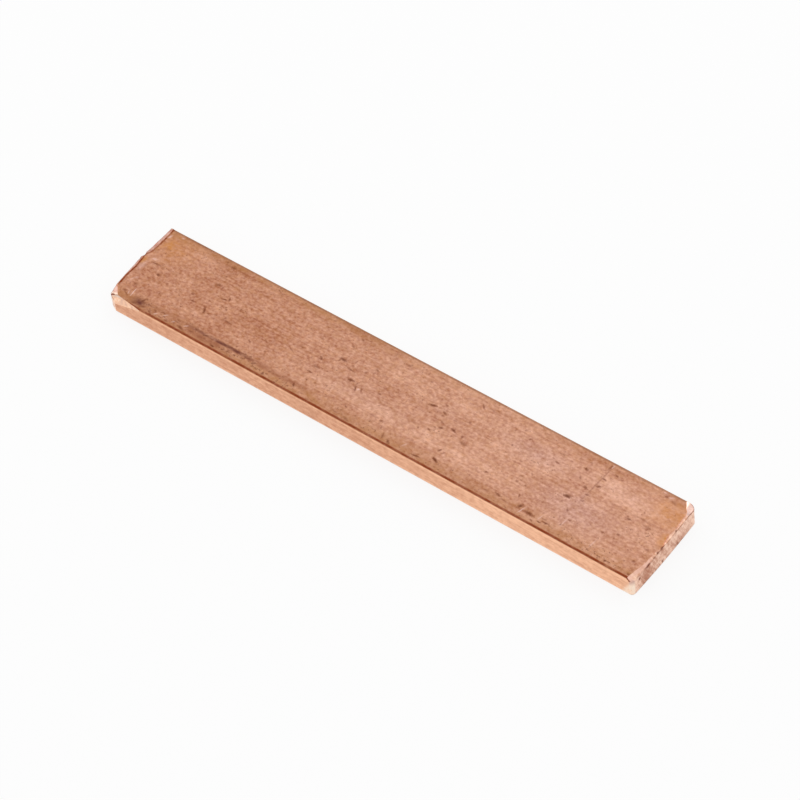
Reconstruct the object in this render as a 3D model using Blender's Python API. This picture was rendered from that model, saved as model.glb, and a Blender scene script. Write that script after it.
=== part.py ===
"""A copper flat bar: one length of drawn stock, cut off and dressed by hand.

The section is drawn first and extruded along X, a little longer than the
bar. Both ends are then cut and filed flat by flat: each flat is one plane
that takes metal off, as one stroke of a saw, grinder or file does.

Frame, in metres: +X along the bar, +Y across it, +Z up. The origin is the
middle of the underside. The sawn end is at -X and the ground end at +X. The
near side, which carries the long file flat, is at -Y, and the far side at +Y.
"""

import math

import bmesh
import bpy
from mathutils import Vector

# The drawn stock
BAR_LENGTH = 0.150
BAR_WIDTH = 0.025
BAR_THICKNESS = 0.005
EDGE_RADIUS = 0.0004
EDGE_STEPS = 4
SAW_ALLOWANCE = 0.003

# Both ends: the broken edge of the underside
UNDER_BREAK = 0.00025

# The sawn end
SAW_LEAN = 0.0005
DRESSED_FROM = 0.001
DRESSED_BACK = 0.0019
SAWN_BREAK_WIDTH = 0.0011
SAWN_BREAK_SLOPE = math.radians(19)
NEAR_CORNER_ALONG = 0.0018
NEAR_CORNER_ACROSS = 0.0009
CORNER_FACET_REACH = 0.0034
CORNER_FACET_SLOPE = math.radians(26)
LONG_FLAT_LENGTH = 0.0110
LONG_FLAT_DROP = 0.0028
LONG_FLAT_SET_IN = 0.0013

# The ground end
CROWN_RADIUS = 0.320
CROWN_APEX_Y = -0.0055
CROWN_FLATS = 4
NEAR_ROUND_RADIUS = 0.0010
FAR_ROUND_RADIUS = 0.0016
ROUND_FLATS = 7
GROUND_LEAN = math.radians(3.5)
GROUND_BREAK_WIDTH = 0.0010
GROUND_BREAK_SLOPE = math.radians(20)
NEAR_BREAK_FROM = -0.0025
NEAR_BREAK_WIDTH = 0.0019
FAR_FACET_ALONG = 0.0034
FAR_FACET_ACROSS = 0.0050

# A vertex this near to a plane lies on it
ON_PLANE = 0.000001

NEAR_SIDE = -BAR_WIDTH / 2
FAR_SIDE = BAR_WIDTH / 2
SAWN_END = -BAR_LENGTH / 2
GROUND_END = BAR_LENGTH / 2
UP = Vector((0, 0, 1))


def clear_scene():
    for item in list(bpy.data.objects):
        bpy.data.objects.remove(item)


def bright_copper():
    """Drawn copper that has begun to dull."""
    material = bpy.data.materials.new("drawn_copper")
    material.use_nodes = True
    shader = material.node_tree.nodes["Principled BSDF"]
    shader.inputs["Base Color"].default_value = (0.62, 0.30, 0.18, 1)
    shader.inputs["Metallic"].default_value = 1.0
    shader.inputs["Roughness"].default_value = 0.45
    return material


def drawn_stock():
    """The rounded section, on its side in the YZ plane, extruded along X."""
    bm = bmesh.new()
    corners = [
        bm.verts.new((SAWN_END - SAW_ALLOWANCE, y, z))
        for y, z in (
            (NEAR_SIDE, 0),
            (FAR_SIDE, 0),
            (FAR_SIDE, BAR_THICKNESS),
            (NEAR_SIDE, BAR_THICKNESS),
        )
    ]
    bm.faces.new(corners)
    bmesh.ops.bevel(
        bm,
        geom=bm.verts[:],
        offset=EDGE_RADIUS,
        offset_type="OFFSET",
        segments=EDGE_STEPS,
        profile=0.5,
        affect="VERTICES",
        material=-1,
    )
    section = bmesh.ops.extrude_face_region(bm, geom=bm.faces[:])
    far_face = [item for item in section["geom"] if isinstance(item, bmesh.types.BMVert)]
    stock_length = BAR_LENGTH + 2 * SAW_ALLOWANCE
    bmesh.ops.translate(bm, verts=far_face, vec=(stock_length, 0, 0))
    bmesh.ops.recalc_face_normals(bm, faces=bm.faces[:])
    return bm


def take_off(bm, point, normal):
    """Removes the metal beyond a plane and closes the bar with a flat face."""
    cut = bmesh.ops.bisect_plane(
        bm,
        geom=bm.verts[:] + bm.edges[:] + bm.faces[:],
        dist=ON_PLANE,
        plane_co=point,
        plane_no=normal.normalized(),
        clear_outer=True,
    )
    rim = [item for item in cut["geom_cut"] if isinstance(item, bmesh.types.BMEdge)]
    bmesh.ops.holes_fill(bm, edges=rim)


def outward(start, end):
    """The level direction square to a line in plan, pointing off the bar."""
    along = (end - start).normalized()
    across = Vector((along.y, -along.x, 0))
    return across if across.dot(start) > 0 else -across


def upright_flat(bm, touching, direction, lean=0.0):
    """A flat down the whole thickness, with its lower edge broken at 45 degrees.

    It touches a point in plan and faces a level direction. With a lean it
    falls back towards the top.
    """
    foot = touching + UP * UNDER_BREAK
    take_off(bm, foot, direction * math.cos(lean) + UP * math.sin(lean))
    take_off(bm, foot, direction - UP)


def top_flat(bm, start, end, slope):
    """A shallow file flat that starts at a line in plan on the top face."""
    direction = outward(start, end)
    on_top = start + UP * BAR_THICKNESS
    take_off(bm, on_top, direction * math.sin(slope) + UP * math.cos(slope))


def saw_and_dress(bm):
    """The sawn end: the cut, its near half dressed back, its top edge broken."""
    cut_from = Vector((SAWN_END, FAR_SIDE, 0))
    cut_to = Vector((SAWN_END + SAW_LEAN, NEAR_SIDE, 0))
    upright_flat(bm, cut_from, outward(cut_from, cut_to))

    share = (FAR_SIDE - DRESSED_FROM) / BAR_WIDTH
    dressed_from = cut_from.lerp(cut_to, share)
    near_end = Vector((SAWN_END + DRESSED_BACK, NEAR_SIDE, 0))
    upright_flat(bm, dressed_from, outward(dressed_from, near_end))

    break_from = Vector((SAWN_END + SAWN_BREAK_WIDTH, FAR_SIDE, 0))
    break_to = Vector((SAWN_END + SAWN_BREAK_WIDTH, NEAR_SIDE, 0))
    top_flat(bm, break_from, break_to, SAWN_BREAK_SLOPE)
    return near_end


def file_near_corner(bm, corner):
    """The corner of the sawn end, in three flats.

    One stands upright, one is a small three-sided facet on the top, and one
    is long and narrow: it runs out along the near side.
    """
    along = corner + Vector((NEAR_CORNER_ALONG, 0, 0))
    across = corner + Vector((0, NEAR_CORNER_ACROSS, 0))
    upright_flat(bm, along, outward(along, across))

    facet_x = Vector((CORNER_FACET_REACH, 0, 0))
    facet_y = Vector((0, CORNER_FACET_REACH, 0))
    top_flat(bm, corner + facet_x, corner + facet_y, CORNER_FACET_SLOPE)

    top_corner = corner + UP * BAR_THICKNESS
    run_out = top_corner + Vector((LONG_FLAT_LENGTH, 0, 0))
    down_side = top_corner - UP * LONG_FLAT_DROP
    across_top = top_corner + Vector((0, LONG_FLAT_SET_IN, 0))
    normal = (down_side - run_out).cross(across_top - run_out)
    take_off(bm, run_out, normal if normal.dot(corner) > 0 else -normal)


def steps(start, stop, count):
    """Angles that share the turn from start to stop, with stop left out."""
    return [start + (stop - start) * step / count for step in range(count)]


def round_centre(crown_centre, radius, side):
    """The centre of a corner round that runs smoothly into the crown and a side."""
    y = side - math.copysign(radius, side)
    rise = y - crown_centre.y
    x = crown_centre.x + math.sqrt((CROWN_RADIUS - radius) ** 2 - rise ** 2)
    return Vector((x, y, 0))


def grind_end(bm):
    """The ground end: a slight crown in plan between two round corners.

    The bar was tipped as it was ground, so the end leans and the sides don't.
    """
    crown = Vector((GROUND_END - CROWN_RADIUS, CROWN_APEX_Y, 0))
    near = round_centre(crown, NEAR_ROUND_RADIUS, NEAR_SIDE)
    far = round_centre(crown, FAR_ROUND_RADIUS, FAR_SIDE)
    near_turn = math.atan2(near.y - crown.y, near.x - crown.x)
    far_turn = math.atan2(far.y - crown.y, far.x - crown.x)
    quarter = math.pi / 2

    arcs = (
        (near, NEAR_ROUND_RADIUS, steps(near_turn, -quarter, ROUND_FLATS)),
        (crown, CROWN_RADIUS, steps(0, near_turn, CROWN_FLATS)),
        (crown, CROWN_RADIUS, steps(0, far_turn, CROWN_FLATS)[1:]),
        (far, FAR_ROUND_RADIUS, steps(far_turn, quarter, ROUND_FLATS)),
    )
    for centre, radius, angles in arcs:
        for angle in angles:
            direction = Vector((math.cos(angle), math.sin(angle), 0))
            lean = GROUND_LEAN * math.cos(angle)
            upright_flat(bm, centre + direction * radius, direction, lean)


def break_ground_end(bm):
    """Shallow flats along the top edge of the ground end and at its corners."""
    inner = GROUND_END - GROUND_BREAK_WIDTH
    middle = Vector((inner, NEAR_BREAK_FROM, 0))
    top_flat(bm, Vector((inner, FAR_SIDE, 0)), middle, GROUND_BREAK_SLOPE)

    near_corner = Vector((GROUND_END - NEAR_BREAK_WIDTH, NEAR_SIDE, 0))
    top_flat(bm, middle, near_corner, GROUND_BREAK_SLOPE)

    along = Vector((GROUND_END - FAR_FACET_ALONG, FAR_SIDE, 0))
    across = Vector((GROUND_END, FAR_SIDE - FAR_FACET_ACROSS, 0))
    top_flat(bm, along, across, GROUND_BREAK_SLOPE)


def flat_bar():
    bm = drawn_stock()
    near_corner = saw_and_dress(bm)
    file_near_corner(bm, near_corner)
    grind_end(bm)
    break_ground_end(bm)
    bmesh.ops.recalc_face_normals(bm, faces=bm.faces[:])

    mesh = bpy.data.meshes.new("flat_bar")
    bm.to_mesh(mesh)
    bm.free()
    mesh.materials.append(bright_copper())
    bar = bpy.data.objects.new("flat_bar", mesh)
    bpy.context.scene.collection.objects.link(bar)
    return bar


clear_scene()
flat_bar()
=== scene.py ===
"""Copper flat bar: the worked surface and finish of the bar, its stage, its lamps and its camera.

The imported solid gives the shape. Its mesh is copied, scored into small cells, and worked as the
real bar was: wandering file strokes at both ends, grinding marks on the end faces, nicks and pits.
Sizes in the tables are millimetres in the bar's own frame: +X along it from the sawn end to the
ground end, +Y from the near side to the far side, +Z up from its underside.
"""

import math
import random

import bmesh
import bpy
import numpy as np
from mathutils import Matrix, Vector, noise


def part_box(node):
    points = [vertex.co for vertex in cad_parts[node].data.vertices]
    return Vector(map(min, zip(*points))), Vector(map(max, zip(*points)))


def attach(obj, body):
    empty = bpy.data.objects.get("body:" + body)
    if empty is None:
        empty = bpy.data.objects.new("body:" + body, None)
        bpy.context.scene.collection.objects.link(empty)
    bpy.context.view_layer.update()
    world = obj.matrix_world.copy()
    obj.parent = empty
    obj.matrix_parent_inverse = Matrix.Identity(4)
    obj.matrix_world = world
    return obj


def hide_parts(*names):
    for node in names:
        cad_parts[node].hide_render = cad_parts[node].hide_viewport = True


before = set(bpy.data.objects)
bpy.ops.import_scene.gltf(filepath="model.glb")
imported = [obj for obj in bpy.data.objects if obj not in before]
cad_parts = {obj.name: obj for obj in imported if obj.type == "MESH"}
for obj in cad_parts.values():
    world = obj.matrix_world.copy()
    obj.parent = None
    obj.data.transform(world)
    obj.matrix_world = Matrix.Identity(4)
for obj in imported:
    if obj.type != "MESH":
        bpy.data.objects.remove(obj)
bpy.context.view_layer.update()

bl_info = {
    "name": "Copper Flat Bar",
    "version": (1, 0, 0),
    "blender": (4, 5, 0),
    "location": "3D View > Sidebar > Flat Bar",
    "description": "A short length of drawn copper flat bar with hand-dressed ends, on a white stage",
    "category": "Add Mesh",
}

MM = 0.001
NODE = "flat_bar"
BODY = "root"
LOW, HIGH = (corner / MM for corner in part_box(NODE))
TOP = HIGH.z

# Two points nearer than this, in millimetres, are one
ON_PLANE = 0.001
X_AXIS = Vector((1, 0, 0))
Y_AXIS = Vector((0, 1, 0))
Z_AXIS = Vector((0, 0, 1))

# Names of the values that the mesh carries for its material
EDGE = "filed_edge"
GRIME = "grime"
UPRIGHT = "upright_cut"
CREASE = "filed_crease"

# Radius of the rounded long edges in millimetres, and the largest sliver in square millimetres
EDGE_RADIUS = 0.4
SLIVER = 0.01

# Faces that meet below the first angle are one flat, and above the second they are shaded apart
ONE_FLAT = math.radians(0.1)
SHARP = math.radians(32)

# A face faces along an axis when that part of its normal is above FACING. By the Z of its normal, a
# cell is level above LEVEL and a filed flat shapes the top above RISING. By its X, a face that was
# drawn stays below RUNS_ALONG
FACING = 0.5
LEVEL = 0.9
RISING = 0.3
RUNS_ALONG = 0.001

# Creases between filed flats: the sine of the angle below which none shows, and the distance in
# millimetres that stands for none near
MILD_CREASE = 0.3
NO_CREASE = 9

# Metal above this share of the bar's height follows the file strokes
FOLLOWS_ABOVE = 0.5

# Small cells reach out from the middle of a mark to this share of its length and width
MARK_REACH = 0.8

# The grime in the middle of a nick, and how far a groove leans along Y for each millimetre up
NICK_GRIME = 0.75
GROOVE_LEAN = 0.45

# The scattered specks: the seed of their draws, how far they stay from the ends and from the sides,
# and the ranges of their length, of their width over their length, and of their strength
SPECK_SEED = 7
SPECK_END_MARGIN = 2.0
SPECK_SIDE_MARGIN = 0.8
SPECK_LENGTH = (0.22, 0.5)
SPECK_WIDTH = (0.5, 0.9)
SPECK_STRENGTH = (0.15, 0.5)

# Places along X between which the finish of each end gives way to that of the middle
SAWN_PART = (-60, -50)
GROUND_PART = (70, 71)

# Distances past a filed edge between which bare metal gives way to drawn metal
BARE_FADE = (-0.12, 0.0)

# The stage: how white the paper is, how far it lies under the bar in millimetres, the camera's sensor
PAPER_WHITE = 0.9
PAPER_GAP = 0.01
SENSOR_WIDTH = 36

# Marks on the top: x, y, length, width, turn in degrees, strength. The strength is above 0 for a
# pit and below 0 for a scuff that shows fresh metal
MARKS = (
    # The first row is a painted highlight beside the dash at (-70.0, 1.3), given as a scuff
    (-71.4, 2.3, 1.3, 0.7, 20, -0.45),
    (-72.6, -0.9, 3.2, 1.4, 88, -0.28),
    (-69.7, -9.9, 1.3, 0.35, -25, 0.4),
    (-73.2, 9.9, 1.2, 0.5, 75, -0.6),
    (-70.2, 11.3, 0.8, 0.5, 0, -0.4),
    (-68.5, -8.7, 2.4, 0.22, -83, -0.75),
    (-69.4, -9.4, 1.2, 0.25, -70, -0.5),
    (-67.6, -6.6, 1.6, 0.4, 60, -0.15),
    (-57.4, -10.1, 1.4, 0.4, 45, -0.45),
    (-51.3, -10.0, 1.2, 0.4, 40, -0.4),
    (-6.5, -2.7, 0.6, 0.5, 0, -0.6),
    (12.0, -9.8, 1.6, 0.4, 60, -0.3),
    (44.0, -10.1, 2.2, 0.3, 75, -0.5),
    (53.5, -7.5, 2.4, 0.4, 85, -0.3),
    (53.4, 11.2, 1.4, 0.4, 85, -0.4),
    (-67.3, -1.2, 0.8, 0.5, -20, 0.8),
    (-70.0, 1.3, 2.0, 0.4, 2, 0.55),
    (-66.0, 1.3, 0.7, 0.4, 0, 0.3),
    (-63.6, -2.2, 0.6, 0.4, 0, 0.3),
    (-53.4, 4.4, 1.0, 0.6, 0, 0.5),
    (-53.9, 10.6, 1.1, 0.5, 10, 0.55),
    (-48.3, 2.2, 0.9, 0.35, -65, 0.7),
    (-49.2, 1.6, 1.0, 0.35, 15, 0.65),
    (-51.0, -3.7, 1.6, 0.4, -62, 0.75),
    (-55.1, -3.0, 0.9, 0.35, 0, 0.55),
    (-56.6, -1.2, 0.9, 0.5, -50, 0.3),
    (-46.9, -0.7, 0.8, 0.4, -30, 0.5),
    (-44.3, -3.5, 1.7, 0.3, -5, 0.5),
    (-47.8, -3.4, 1.2, 0.3, 5, 0.3),
    (-61.4, -11.3, 0.8, 0.4, -20, 0.6),
    (-52.0, -11.1, 1.3, 0.5, -15, 0.7),
    (-42.3, -11.3, 0.8, 0.4, -10, 0.8),
    (-58.4, -9.8, 0.8, 0.4, 20, 0.4),
    (-62.5, -9.8, 0.8, 0.3, 0, 0.35),
    (-48.6, -9.4, 0.9, 0.3, -20, 0.5),
    (-70.6, -9.3, 0.8, 0.5, 0, 0.5),
    (-64.7, -9.4, 0.9, 0.4, 75, 0.6),
    (-36.1, -5.3, 0.8, 0.35, -30, 0.5),
    (-33.2, -3.0, 0.7, 0.3, -20, 0.35),
    (-26.5, -1.9, 1.5, 0.3, -25, 0.35),
    (-25.0, 0.2, 1.4, 0.3, 10, 0.3),
    (-19.3, 0.0, 0.9, 0.4, -50, 0.7),
    (-18.7, -2.7, 1.5, 0.5, 0, 0.4),
    (-18.9, -4.7, 1.0, 0.4, -10, 0.65),
    (-19.4, -9.9, 1.1, 0.35, -60, 0.55),
    (-22.7, 4.9, 0.6, 0.4, 0, 0.3),
    (-14.8, 2.5, 1.3, 0.5, -5, 0.85),
    (-15.5, 1.9, 0.8, 0.3, 60, 0.5),
    (-11.5, 1.0, 1.3, 0.3, -8, 0.55),
    (-13.2, 1.3, 1.6, 0.22, -10, 0.3),
    (-15.4, -0.9, 0.6, 0.3, -60, 0.35),
    (-14.9, 9.8, 0.8, 0.4, -30, 0.4),
    (-11.9, 2.3, 0.5, 0.3, 0, 0.35),
    (-11.9, 3.6, 0.9, 0.25, 85, 0.3),
    (-9.6, -1.4, 1.3, 0.5, 10, 0.85),
    (-7.2, -2.9, 1.2, 0.35, -60, 0.8),
    (-5.8, -2.5, 0.9, 0.3, -60, 0.55),
    (-6.4, 4.3, 0.8, 0.4, -20, 0.6),
    (-6.5, 3.2, 0.6, 0.3, 80, 0.35),
    (-8.2, 2.3, 0.6, 0.4, 30, 0.45),
    (-1.6, -1.1, 0.6, 0.4, 0, 0.5),
    (-1.4, 9.5, 0.7, 0.4, 0, 0.4),
    (-3.5, -11.2, 1.4, 0.5, -20, 0.4),
    (-6.7, -10.9, 1.5, 0.3, -10, 0.3),
    (1.0, -7.0, 1.6, 0.5, -5, 0.3),
    (3.5, -7.2, 0.6, 0.45, 0, 0.55),
    (4.7, -8.8, 0.9, 0.3, -70, 0.4),
    (6.4, -10.4, 1.2, 0.4, -70, 0.5),
    (8.4, -11.1, 1.0, 0.5, -50, 0.7),
    (10.2, 3.1, 1.5, 0.45, 15, 0.85),
    (12.9, 4.8, 0.6, 0.4, 0, 0.4),
    (13.8, 2.7, 1.0, 0.4, -25, 0.6),
    (13.7, -3.1, 0.7, 0.4, -20, 0.55),
    (14.4, -1.8, 0.6, 0.35, 0, 0.4),
    (15.0, 0.2, 1.1, 0.35, -25, 0.4),
    (15.7, -1.2, 0.8, 0.45, 30, 0.75),
    (15.9, -10.9, 1.7, 0.4, 8, 0.7),
    (18.4, -0.2, 1.0, 0.45, -15, 0.85),
    (19.7, 9.2, 1.4, 0.3, -42, 0.55),
    (22.4, 9.4, 0.8, 0.3, -20, 0.35),
    (17.1, 2.2, 0.6, 0.3, 0, 0.3),
    (19.4, -6.5, 0.9, 0.4, 65, 0.65),
    (20.5, -6.9, 0.7, 0.3, 70, 0.4),
    (20.2, -9.4, 1.4, 0.5, -25, 1.0),
    (21.1, -0.7, 0.8, 0.35, -60, 0.5),
    (22.4, -2.2, 1.6, 0.6, 0, 0.45),
    (26.0, 2.2, 1.5, 0.3, 0, 0.3),
    (29.0, -8.5, 0.5, 0.3, 0, 0.4),
    (31.4, -5.8, 0.9, 0.4, 30, 0.6),
    (34.5, -9.9, 1.2, 0.3, 0, 0.35),
    (37.3, -9.4, 1.4, 0.4, -12, 0.6),
    (39.4, -10.0, 1.2, 0.3, -5, 0.4),
    (35.9, 1.1, 0.7, 0.4, 0, 0.3),
    (38.5, -4.0, 0.7, 0.4, 20, 0.4),
    (38.5, -2.3, 0.6, 0.4, 0, 0.3),
    (40.1, -0.6, 0.8, 0.3, -45, 0.35),
    (41.3, -7.0, 0.9, 0.3, -70, 0.5),
    (42.6, 5.3, 0.9, 0.4, -10, 0.5),
    (42.5, 7.9, 0.7, 0.4, 0, 0.4),
    (43.2, -9.2, 1.0, 0.6, 55, 0.75),
    (46.0, -9.9, 1.7, 0.6, -5, 0.75),
    (50.3, -10.0, 1.5, 0.35, 5, 0.6),
    (48.8, 9.5, 0.7, 0.35, 0, 0.35),
    (48.9, 7.4, 0.9, 0.5, -15, 0.7),
    (49.2, 4.6, 0.9, 0.4, -50, 0.5),
    (49.9, -1.2, 1.4, 0.6, 10, 0.95),
    (51.7, 3.0, 0.9, 0.5, -20, 0.6),
    (51.9, -6.8, 0.8, 0.3, -60, 0.35),
    (52.1, -4.3, 0.7, 0.3, -60, 0.5),
    (53.0, 10.6, 1.3, 0.3, 88, 0.5),
    (53.2, 1.5, 0.7, 0.4, 0, 0.6),
    (53.2, -0.5, 0.6, 0.35, 0, 0.4),
    (53.7, 7.2, 1.0, 0.4, -10, 0.65),
    (53.9, 4.8, 0.9, 0.5, 35, 0.7),
    (54.3, -6.5, 0.6, 0.35, 0, 0.5),
    (55.5, 9.5, 0.7, 0.3, -20, 0.55),
    (57.0, 9.1, 0.7, 0.3, 0, 0.3),
    (61.9, -5.1, 0.6, 0.35, 0, 0.5),
    (64.4, 1.1, 0.8, 0.5, 0, 0.7),
    (65.0, -3.7, 0.7, 0.4, 0, 0.55),
    (69.2, 1.1, 0.9, 0.5, 80, 0.4),
    (66.6, -11.2, 0.7, 0.4, 0, 0.5),
    (72.8, -11.3, 0.6, 0.4, 0, 0.6),
    (68.7, 11.2, 1.2, 0.5, 30, -0.35),
    (66.7, 11.6, 1.0, 0.4, 0, -0.3),
    (69.8, 10.3, 1.2, 0.5, -20, 0.3),
    (67.6, 10.8, 0.9, 0.4, 20, 0.35),
    (71.7, -7.8, 0.7, 0.5, 0, 0.45),
    (72.3, -3.7, 0.8, 0.4, 0, 0.4),
    (66.9, 2.7, 1.0, 0.5, 0, 0.35),
    (69.0, 1.4, 1.4, 0.6, 0, 0.3),
    (-71.0, -4.6, 1.0, 0.6, 40, -0.22),
    (53.2, 6.0, 10.0, 0.3, 88, 0.3),
    (66.0, 2.6, 14.0, 0.5, 1, 0.12),
    (48.6, -9.3, 1.6, 0.3, 80, -0.4),
    (61.9, -8.8, 2.4, 0.4, 85, -0.3),
    (-71.6, -5.4, 1.4, 0.4, 70, -0.25),
    (-69.8, -6.4, 0.8, 0.6, 0, 0.45),
    (-66.4, -11.3, 0.9, 0.4, 0, 0.5),
    (-63.4, -10.9, 0.8, 0.4, 30, 0.45),
    (-60.2, -10.4, 0.7, 0.4, -30, 0.45),
    (-56.2, -11.3, 0.9, 0.4, 10, 0.5),
    (-53.8, -9.6, 0.8, 0.4, -20, 0.4),
    (-49.2, -10.6, 0.8, 0.4, 20, 0.45),
    (-38.0, -10.6, 0.8, 0.4, 0, 0.3),
    (-59.6, -11.0, 1.2, 0.4, 50, -0.4),
    (-54.6, -10.6, 1.0, 0.4, 45, -0.35),
)

# Slow changes over the drawn top: x, y, reach along x and y, how much lighter, how much warmer
SHADES = (
    (-67, -6.8, 9, 3.0, -0.18, 0.0),
    (-54, 10.4, 9, 3.0, -0.2, 0.0),
    (-54, 6.4, 8, 3.4, -0.08, 0.0),
    (-38, -1.0, 20, 4.2, -0.1, 0.05),
    (-19, -2.0, 2.4, 4.5, -0.1, 0.0),
    (2, -5.4, 54, 2.8, 0.12, 0.0),
    (2, -7.4, 3, 1.8, -0.14, 0.0),
    (14, 5.4, 26, 4.2, 0.1, 0.0),
    (60, 6.0, 17, 3.8, 0.2, -0.4),
    (38, 4.8, 14, 4.2, 0.1, -0.8),
    (54, -3.4, 16, 7.0, 0.06, -1.0),
    (53, -3.0, 1.8, 9.0, -0.05, -0.6),
    (45, -9.6, 3.0, 1.2, -0.25, 0.0),
    (48, 10.8, 22, 0.8, -0.14, 0.0),
    (20, -3.0, 26, 7.0, 0.1, 0.0),
    (12, 7.0, 26, 4.0, 0.06, 0.0),
    (67, 6.0, 9, 5.0, 0.1, 0.0),
    (-66, 7.6, 9, 3.4, 0.1, 0.0),
    (-71.6, -2.6, 3.4, 4.6, -0.16, 0.0),
    (-54, -3.0, 7, 4.0, -0.1, 0.0),
    (-65, 1.6, 7, 2.4, -0.08, 0.0),
    (30, -6.6, 16, 3.0, 0.1, 0.0),
    (55, -7.0, 7, 4.0, -0.12, 0.0),
    (54, 7.0, 10, 2.4, 0.08, 0.0),
    (-34, 8.0, 16, 2.0, 0.12, 0.0),
    (24, 10.4, 30, 2.0, 0.04, 0.0),
    (-41, -10.8, 10, 1.2, 0.12, 0.0),
    (-4, -4.0, 22, 3.5, 0.03, -0.25),
    (14, 3.6, 4, 2.5, 0.0, -0.3),
    (-45, 8.0, 24, 1.1, -0.2, 0.0),
    (-45, 10.5, 24, 0.8, -0.14, 0.0),
    (-42, 0.0, 9, 3.4, -0.1, 0.0),
    (15, 11.3, 22, 1.0, 0.2, 0.0),
    (-45, -8.3, 24, 0.8, -0.16, 0.0),
    (56, 10.8, 12, 2.6, -0.14, 0.0),
    (66, -1.0, 8, 3.0, -0.06, -0.1),
    (70, 11.0, 6.0, 1.6, -0.2, -0.5),
)

# Yellowish tarnish on the top: x, y, reach along x and y, strength
OCHRE_PATCHES = (
    (-71.4, 7.2, 3.6, 3.4, 1.0),
    (-73.6, 0.4, 1.4, 2.2, 1.0),
    (-70.0, 8.0, 9.0, 8.0, 0.5),
    (73.4, 7.6, 4.5, 4.6, 0.62),
    (71.5, 7.4, 8.5, 7.0, 0.58),
    (74.0, 0.8, 2.4, 3.0, 1.0),
)

# Streaks along the near edge of the top: their band along x, their band along y, strength. The
# four numbers of a band are where it starts, where it is full, where it fades and where it stops
BROWN_STREAKS = (
    ((-72, -66, -54, -49), (-12.6, -10.6, -9.6, -8.2), 0.5),
    ((-54, -49, -44, -32), (-12.6, -10.6, -9.4, -8.2), 1.0),
    ((-44, -36, -20, -14), (-10.6, -9.8, -9.2, -8.6), 1.0),
)
VIOLET_STREAKS = (
    ((-52, -47, -37, -28), (-10.0, -9.6, -9.25, -8.8), 1.0),
)

# Single patches on the top: x, y, reach along x and y
FAR_BROWN_PATCH = (-66.0, 12.4, 10.0, 1.6)
VIOLET_PATCH = (-65.3, -10.4, 2.8, 1.7)

# Single patches on the face of the ground end: y, z, reach along y and z
BURNT_PATCH = (-7.3, 2.2, 4.0, 5.2)
RUSTY_PATCH = (6.0, 0.6, 4.0, 2.2)

# Dark spots on the face of the ground end: y, z, reach along y and z, strength
GROUND_SPOTS = (
    (-9.9, 3.4, 0.6, 0.6, 1.4),
    (-6.7, 4.5, 1.6, 0.6, 1.4),
)

# Nicks in the edges of both ends: x, y, z, reach along x, y and z, depth
NICKS = (
    (-74.9, 2.2, 4.9, 0.6, 0.9, 0.8, 0.28),
    (-74.6, 0.6, 4.8, 0.3, 0.6, 0.5, 0.08),
    (74.5, 4.3, 4.8, 0.3, 0.5, 0.4, 0.06),
    (74.6, -1.4, 4.8, 0.35, 0.6, 0.45, 0.09),
    (74.6, -2.9, 4.8, 0.3, 0.45, 0.4, 0.08),
    (74.9, -4.3, 4.7, 0.3, 0.7, 0.3, 0.06),
    (75.0, -6.6, 4.6, 0.4, 1.2, 0.5, 0.14),
    (75.0, -10.6, 4.2, 0.35, 0.4, 0.4, 0.08),
    (75.0, -1.4, 0.9, 0.3, 0.5, 0.4, 0.07),
    (75.0, 4.5, 0.8, 0.3, 0.6, 0.4, 0.05),
)

# How far the breaks of both ends reach in from the end of the bar: y, reach. Each is a file
# stroke that wandered
SAWN_BREAK = (
    (12.5, 0.85),
    (10.0, 1.05),
    (8.0, 1.15),
    (6.0, 1.2),
    (4.2, 1.25),
    (3.2, 1.0),
    (2.6, 0.6),
    (1.9, 0.5),
    (1.0, 0.8),
    (-1.0, 1.1),
    (-2.0, 1.2),
    (-3.5, 1.25),
    (-5.0, 1.25),
    (-7.0, 1.4),
    (-9.0, 1.6),
    (-12.5, 1.9),
)
GROUND_BREAK = (
    (12.5, 1.9),
    (9.0, 1.35),
    (8.0, 1.25),
    (5.0, 1.05),
    (2.2, 1.05),
    (1.0, 1.1),
    (0.2, 0.9),
    (-0.8, 0.55),
    (-2.0, 0.5),
    (-3.2, 0.85),
    (-5.8, 1.0),
    (-8.5, 1.3),
    (-11.4, 1.9),
    (-12.5, 2.0),
)

# Where the mesh has small cells: from and to along x, from and to along y
FINE_ZONES = (
    (LOW.x - 1, -72.5, LOW.y - 1, HIGH.y + 1),
    (-72.5, -68.5, LOW.y - 1, -8.0),
    (-68.5, -61.0, LOW.y - 1, -11.0),
    (71.0, 72.75, 6.5, HIGH.y + 1),
    (72.75, HIGH.x + 1, LOW.y - 1, HIGH.y + 1),
)


def tint(red, green, blue):
    """A colour that was picked in sRGB bytes, in Blender's linear light."""
    shares = (channel / 255 for channel in (red, green, blue))
    linear = (s / 12.92 if s <= 0.04045 else ((s + 0.055) / 1.055) ** 2.4 for s in shares)
    return (*linear, 1.0)


def colour(name, description, *srgb):
    """A colour property with its default in sRGB bytes."""
    return bpy.props.FloatVectorProperty(
        name=name, description=description, subtype="COLOR", size=4, min=0, max=1, default=tint(*srgb)
    )


def length(name, description, default):
    """A length property, with its default in millimetres."""
    return bpy.props.FloatProperty(
        name=name, description=description, subtype="DISTANCE", unit="LENGTH", default=default * MM,
        min=0, precision=5,
    )


def number(name, description, default, low=0.0, high=10.0):
    """A plain number property."""
    return bpy.props.FloatProperty(
        name=name, description=description, default=default, min=low, max=high
    )


def angle(name, description, default):
    """An angle property, with its default in degrees."""
    return bpy.props.FloatProperty(
        name=name, description=description, subtype="ANGLE", default=math.radians(default)
    )


def direction(name, description, default):
    """A direction property, from the bar outwards."""
    return bpy.props.FloatVectorProperty(
        name=name, description=description, subtype="DIRECTION", size=3, default=default
    )


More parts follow.
